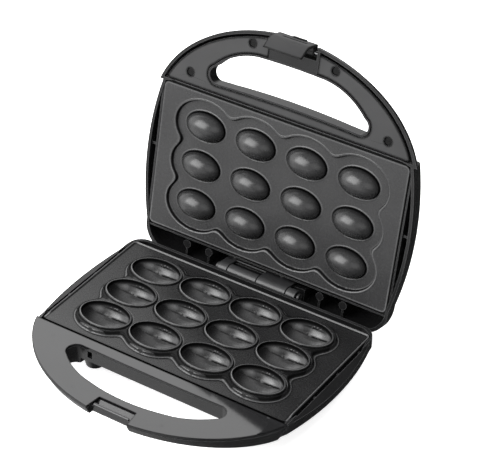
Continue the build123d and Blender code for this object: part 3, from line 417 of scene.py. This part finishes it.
def lower_marks(X, Y):
    """Painted shade in the lower plate's crevices and hollows, painted highlights on its arrises and a painted sheen in
    its cups.
    """
    e = edge_dist(X, Y)
    # painted shade along the plate's outer edge, over the front lip and inside the upstand, painted highlight along the
    # upstand's top
    front = 1 - sstep(-60.5, -57.5, Y)
    painted_shade = 0.95 * gauss(e, 0.15, 0.45) + 0.75 * gauss(e, 2.6, 0.4) * (1 - front)
    painted_shade = np.maximum(painted_shade, front * (1 - sstep(1.9, 2.5, e)))
    painted_sheen = np.zeros_like(X)
    arris = 0.55 * gauss(e, 1.25, 0.45) * (1 - front)
    d = scallop_dist(X, Y, 84, 41.5, 25.2, 20.0, 7.0)
    # painted highlight on the plateau's edge and painted shade at its foot
    arris = np.maximum(arris, 0.42 * gauss(d, 0.55, 0.42))
    painted_shade = np.maximum(painted_shade, 0.65 * gauss(d, 1.45, 0.40))
    for cy in CY:
        for cx in CX:
            x, y = X - cx, Y - cy
            near = (np.abs(x) < 24) & (np.abs(y) < 17.5)
            xs, ys = x[near], y[near]
            dd = ell_dist(xs, ys, CUP_A, CUP_B)
            c, a = painted_shade[near], arris[near]
            c = np.where(dd < 1.2, 0, c)
            a = np.where(dd < 2.2, 0, a)
            # painted highlight on each cup's bead, painted shade just inside its rim, in the groove outside it and
            # between the bead and the plateau's edge, more at the front
            a = np.maximum(a, 0.46 * gauss(dd, 0.80, 0.34))
            c = np.maximum(c, 0.97 * gauss(dd, -0.15, 0.40))
            c = np.maximum(c, 0.85 * gauss(dd, 1.75, 0.40))
            ds = d[near]
            c = np.maximum(c, 0.72 * sstep(1.25, 1.55, dd) * sstep(-2.0, -1.4, ds) * (1 - sstep(-0.35, 0.05, ds)))
            c = np.maximum(c, 0.60 * sstep(1.25, 1.6, dd) * sstep(-5.5, -4.0, ds) * (1 - sstep(-0.1, 0.3, ds)) * (1 - sstep(-2, 5, ys)))
            u = xs / CUP_A
            R = CUP_B * np.sqrt(np.clip(1 - u * u, 1e-4, 1))
            phi = np.degrees(np.arcsin(np.clip(ys / R, -1, 1)))
            mm = np.radians(1.0) * R
            ins = dd < -0.02
            # painted shade along the seam, over its band of cells and in the slit, painted highlight on the seam's left
            # half
            for sgn in (1, -1):
                p = sgn * phi
                lo = 41.5 - 15.5 * lens(u, -0.86, 0.72, 0.7)
                right_part = sstep(-0.22, 0.02, u) * (1 - sstep(0.66, 0.76, u))
                left_part = sstep(-0.74, -0.60, u) * (1 - sstep(-0.20, 0.0, u))
                c = np.maximum(c, 1.0 * gauss((p - 41.3) * mm, 0, 0.60) * right_part * ins)
                c = np.maximum(c, 0.75 * gauss((p - 40.2) * mm, 0, 0.42) * left_part * ins)
                a = np.maximum(a, 0.16 * gauss((p - 42.8) * mm, 0, 0.30) * left_part * ins)
                band = sstep(-0.5, 0.5, (p - lo) * mm) * (1 - sstep(-0.4, 0.2, (p - 40) * mm))
                rows = np.sin((p - lo) * mm * 2 * np.pi / 1.25)
                cells = 0.5 + 0.5 * np.sin(xs * 2 * np.pi / 1.55) * rows
                c = np.maximum(c, 0.85 * cells * band * sstep(-0.50, -0.2, u) * (1 - sstep(0.45, 0.66, u)) * ins)
                up_ = 66.5 + 9.5 * lens(u, -0.50, 0.58, 0.8)
                ln = lens(u, -0.50, 0.58, 0.45)
                c = np.maximum(c, gauss((p - 67.5) * mm, 0, 0.70) * lens(u, -0.50, 0.58, 0.45) * (p < 90))
                c = np.maximum(c, 0.75 * gauss((p - up_) * mm, 0.15, 0.22) * ln)
            # painted shade below the seam and a painted sheen above it and at the lower left, with a pale patch on the
            # left and a dark patch in the middle; together they stand in for the reflections inside the cup
            w = painted_sheen[near]
            p = phi
            w = np.maximum(w, ins * sstep(41, 46, p) * (1 - sstep(66, 77, p)) * sstep(-0.30, 0.25, u) * (1 - sstep(0.66, 0.90, u)) * 0.85)
            w = np.maximum(w, ins * 0.95 * np.exp(-((u + 0.60) / 0.17) ** 2 - ((p - 60) / 11.0) ** 2))
            w = np.maximum(w, ins * (0.42 * (1 - sstep(36, 42, p)) * sstep(-0.95, -0.5, u) + 0.38 * sstep(44, 62, p)))
            c = np.maximum(c, ins * 0.10 * (1 - sstep(36, 42.5, p)))
            c = np.maximum(c, ins * 0.45 * np.exp(-((u + 0.22) / 0.12) ** 2 - ((p - 52) / 8.0) ** 2))
            painted_sheen[near] = w
            painted_shade[near], arris[near] = c, a
    return np.clip(painted_shade, 0, 1), np.clip(arris, 0, 1), np.clip(painted_sheen, 0, 1)


def upper_marks(X, Y):
    """Painted shade in the upper plate's crevices and on the domes' lower sides, and painted highlights on its arrises.
    """
    e = edge_dist(X, Y)
    rear = sstep(20, 55, Y)
    # painted shade along the plate's edge, painted highlight inside it, stronger towards the hinge side
    painted_shade = 0.95 * gauss(e, 0.1, 0.5)
    arris = (0.25 + 0.3 * rear) * gauss(e, 1.2, 0.4)
    d = scallop_dist(X, Y, 86, 43.0, 27.0, 21.6, 7.0)
    low = sstep(-20, 35, Y)
    # painted shade on the recess outline, painted highlights on both sides of it, stronger towards the hinge side
    painted_shade = np.maximum(painted_shade, gauss(d, 0.0, 0.42))
    arris = np.maximum(arris, (0.22 + 0.34 * low) * gauss(d, 1.05, 0.36))
    arris = np.maximum(arris, 0.25 * low * gauss(d, -1.0, 0.36))
    for cx in CX:
        for cy in CY:
            x, y = X - cx, Y - cy
            near = (np.abs(x) < 21) & (np.abs(y) < 15)
            xs, ys = x[near], y[near]
            dd = ell_dist(xs, ys, 17.75, 11.83)
            c, a = painted_shade[near], arris[near]
            # painted highlight round each dome, stronger on one side; painted shade round its foot and over its lower
            # side
            w = 0.3 + 0.7 * np.clip(0.45 * xs / 17.75 - 0.9 * ys / 11.83, 0, 1)
            c = np.maximum(c, gauss(dd, 0.0, 0.70))
            c = np.maximum(c, 0.45 * gauss(dd, -0.6, 1.3) * (dd < 0))
            q = np.hypot(xs / 17.75, ys / 11.83)
            c = np.maximum(c, 0.62 * sstep(0.30, 0.95, q) * (0.30 + 0.70 * sstep(-0.5, 0.6, ys / 11.83 - 0.35 * xs / 17.75)) * (dd < 0))
            a = np.maximum(a, 0.42 * w * gauss(dd, 1.45, 0.42))
            painted_shade[near], arris[near] = c, a
    return np.clip(painted_shade, 0, 1), np.clip(arris, 0, 1), np.zeros_like(X)


def lower_bottom(X, Y):
    Z = np.full_like(X, -PLATE_T)
    for cx in CX:
        for cy in CY:
            q = 1 - ((X - cx) / (CUP_A + CUP_WALL)) ** 2 - ((Y - cy) / (CUP_B + CUP_WALL)) ** 2
            Z = np.minimum(Z, np.where(q > 0, CUP_Z - (CUP_B + CUP_WALL) * np.sqrt(np.maximum(q, 0)), 0))
    return Z


def upper_face(X, Y):
    """Working face of the upper plate, lid closed."""
    Z = np.full_like(X, LID_GAP)
    e = edge_dist(X, Y)
    Z += 0.5 * (1 - sstep(0.0, 0.5, e))
    d = scallop_dist(X, Y, 86, 43.0, 27.0, 21.6, 7.0)
    Z = Z + (RECESS_Z - Z) * (1 - sstep(-0.45, 0.45, d))
    # low bead along the recess
    Z -= 0.25 * np.exp(-((d - 1.5) / 0.45) ** 2)
    for cx in CX:
        for cy in CY:
            x, y = X - cx, Y - cy
            near = (np.abs(x) < 22) & (np.abs(y) < 16)
            xs, ys = x[near], y[near]
            z = Z[near]
            dd = ell_dist(xs, ys, 17.75, 11.83)
            q = np.clip(1 - (xs / DOME_A) ** 2 - (ys / DOME_B) ** 2, 0, 1)
            dome = DOME_Z - DOME_B * np.sqrt(q)
            z = z + 0.30 * np.exp(-((dd - 0.35) / 0.30) ** 2) - 0.25 * np.exp(-((dd - 1.25) / 0.35) ** 2)
            z = np.where(dd < 0.05, np.minimum(dome, z), z)
            Z[near] = z
    return Z


def upper_back(X, Y):
    d = scallop_dist(X, Y, 83.6, 40.6, 26.4, 21.0, 7.0)
    return LID_GAP + PLATE_T + (7.4 - LID_GAP - PLATE_T) * (1 - sstep(-0.8, 0.8, d))


def plate_mesh(name, face, back, marks, step, ratio, flip, matrix, walls):
    """Closed plate: a fine relief face, a coarser back and a skirt between."""
    nx = int(round(PLATE_W / step / ratio)) * ratio + 1
    ny = int(round(PLATE_D / step / ratio)) * ratio + 1
    X, Y = gather(*grid(nx, ny), *walls)
    F = np.stack([X, Y, face(X, Y)], -1)
    Xc, Yc = X[::ratio, ::ratio], Y[::ratio, ::ratio]
    B = np.stack([Xc, Yc, back(Xc, Yc)], -1)
    nyc, nxc = Xc.shape
    verts = np.concatenate([F.reshape(-1, 3), B.reshape(-1, 3)])
    i = np.arange(ny * nx).reshape(ny, nx)
    q1 = np.stack([i[:-1, :-1], i[:-1, 1:], i[1:, 1:], i[1:, :-1]], -1).reshape(-1, 4)
    k = np.arange(nyc * nxc).reshape(nyc, nxc) + ny * nx
    q2 = np.stack([k[:-1, :-1], k[1:, :-1], k[1:, 1:], k[:-1, 1:]], -1).reshape(-1, 4)
    fine = np.concatenate([i[0, :], i[1:, -1], i[-1, -2::-1], i[-2:0:-1, 0]])
    coarse = np.concatenate([k[0, :], k[1:, -1], k[-1, -2::-1], k[-2:0:-1, 0]])
    tris = []
    nf, nc = len(fine), len(coarse)
    for c in range(nc):
        for j in range(ratio):
            tris.append((fine[(c * ratio + j + 1) % nf], fine[(c * ratio + j) % nf], coarse[c]))
        tris.append((fine[((c + 1) * ratio) % nf], coarse[c], coarse[(c + 1) % nc]))
    faces = [tuple(int(v) for v in q) for q in np.concatenate([q1, q2])] + [tuple(int(v) for v in t) for t in tris]
    if flip:
        faces = [f[::-1] for f in faces]
    me = bpy.data.meshes.new(name)
    me.from_pydata([tuple(v) for v in verts.tolist()], [], faces)
    me.transform(matrix)
    # painted shade, painted highlight (arris) and painted sheen, one value per point of the face
    for key, vals in zip(("painted_shade_mark", "arris", "painted_sheen"), marks(X, Y)):
        at = me.attributes.new(key, "FLOAT", "POINT")
        full = np.zeros(len(verts), dtype=np.float32)
        full[:vals.size] = vals.reshape(-1)
        at.data.foreach_set("value", full)
    me.validate()
    me.shade_smooth()
    # keep the arris between the face and the skirt crisp
    me.set_sharp_from_angle(angle=radians(60))
    ob = bpy.data.objects.new(name, me)
    scene.collection.objects.link(ob)
    return ob


STEP = 0.4
lower = plate_mesh("lower_plate_relief", lower_top, lower_bottom, lower_marks, STEP, 2, False, BASE_M, (CUP_A, CUP_B))
lower.data.materials.append(MAT["plate"])
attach(lower, "base")
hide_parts("lower_plate")
upper = plate_mesh("upper_plate_relief", upper_face, upper_back, upper_marks, STEP, 2, True, LID_M, (17.9, 11.93))
upper.data.materials.append(MAT["upper_plate"])
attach(upper, "lid")
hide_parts("upper_plate")

# ------------------------------------------------------------------ floor and light
bpy.ops.mesh.primitive_plane_add(size=12, location=(0, 0, 0))
floor = bpy.context.object
floor.name = "floor"
fm, fnt, fb = new_mat("floor_paper")
fb.inputs["Base Color"].default_value = (0.88, 0.88, 0.88, 1)
fb.inputs["Roughness"].default_value = 0.9
fb.inputs["Specular IOR Level"].default_value = 0.0
fb.inputs["Emission Color"].default_value = (1, 1, 1, 1)
fb.inputs["Emission Strength"].default_value = 0.8
floor.data.materials.append(fm)
floor.visible_glossy = False

world = bpy.data.worlds.new("world")
scene.world = world
world.use_nodes = True
wt = world.node_tree
bg = wt.nodes["Background"]
tcw = wt.nodes.new("ShaderNodeTexCoord")


def lobe(direction, start, end, amount):
    """Soft patch of light in the studio round one direction."""
    dot = wt.nodes.new("ShaderNodeVectorMath")
    dot.operation = "DOT_PRODUCT"
    dot.inputs[1].default_value = Vector(direction).normalized()
    wt.links.new(tcw.outputs["Generated"], dot.inputs[0])
    mr = wt.nodes.new("ShaderNodeMapRange")
    mr.interpolation_type = "SMOOTHSTEP"
    mr.inputs["From Min"].default_value = start
    mr.inputs["From Max"].default_value = end
    mr.inputs["To Min"].default_value = 0.0
    mr.inputs["To Max"].default_value = amount
    wt.links.new(dot.outputs["Value"], mr.inputs["Value"])
    return mr.outputs[0]


def add_up(values, base):
    out = None
    for v in values:
        m = wt.nodes.new("ShaderNodeMath")
        m.operation = "ADD"
        wt.links.new(v, m.inputs[0])
        if out is None:
            m.inputs[1].default_value = base
        else:
            wt.links.new(out, m.inputs[1])
        out = m.outputs[0]
    return out


bg.inputs["Color"].default_value = (1, 1, 1, 1)
wt.links.new(add_up([lobe((0, 0, 1), 0.6, 1.0, 0.25),
                     lobe((-0.45, -0.86, -0.25), 0.55, 0.95, 0.85),
                     lobe((-0.80, 0.02, -0.58), 0.55, 0.95, 0.55),
                     lobe((-0.95, 0.25, 0.18), 0.8, 0.99, 0.8),
                     lobe((-0.45, 0.86, 0.25), 0.90, 0.99, 0.9),
                     lobe((-0.88, -0.33, 0.36), 0.80, 0.97, 1.6),
                     lobe((0.54, -0.70, 0.41), 0.85, 0.98, 1.3)], 0.04), bg.inputs["Strength"])


def area(name, loc, target, size, power, size_y=None):
    l = bpy.data.lights.new(name, "AREA")
    l.shape = "RECTANGLE"
    l.size, l.size_y = size, size_y or size
    l.energy = power
    o = bpy.data.objects.new(name, l)
    scene.collection.objects.link(o)
    o.location = loc
    o.rotation_euler = (Vector(target) - Vector(loc)).to_track_quat("-Z", "Y").to_euler()
    return o


area("softbox_key", (-0.75, -1.07, 0.95), (0, 0, 0.08), 1.25, 32)
top = area("softbox_top", (0.0, -0.1, 2.3), (0, 0, 0.0), 2.6, 75)
top.visible_glossy = False
# strip softbox behind the left side, its lower edge runs slantwise
edge = Vector((0.867, 0.168, 0.468)).normalized()
beam = Vector((-0.4455, 0.681, 0.581)).normalized()
edge = (edge - beam * edge.dot(beam)).normalized()
across = beam.cross(edge).normalized()
rear = area("softbox_rear", (0, 0, 1), (0, 0, 0), 0.85, 6.2, 0.8)
spot = Vector((-0.5526, 0.8729 + SHIFT_Y * 0.001, 0.9626 + SHIFT_Z * 0.001)) - across * 0.4 - edge * 0.46
facing = Matrix((edge, across, beam)).transposed().to_4x4()
rear.matrix_world = Matrix.Translation(spot) @ facing
# its lower corner reaches a little further to the right
tip = area("softbox_rear_tip", (0, 0, 1), (0, 0, 0), 0.14, 0.166, 0.13)
tip.matrix_world = Matrix.Translation(spot + edge * 0.495 + across * 0.338) @ facing

scene.view_settings.view_transform = "Standard"
scene.view_settings.look = "None"
scene.view_settings.exposure = 0.0
scene.view_settings.gamma = 1.0
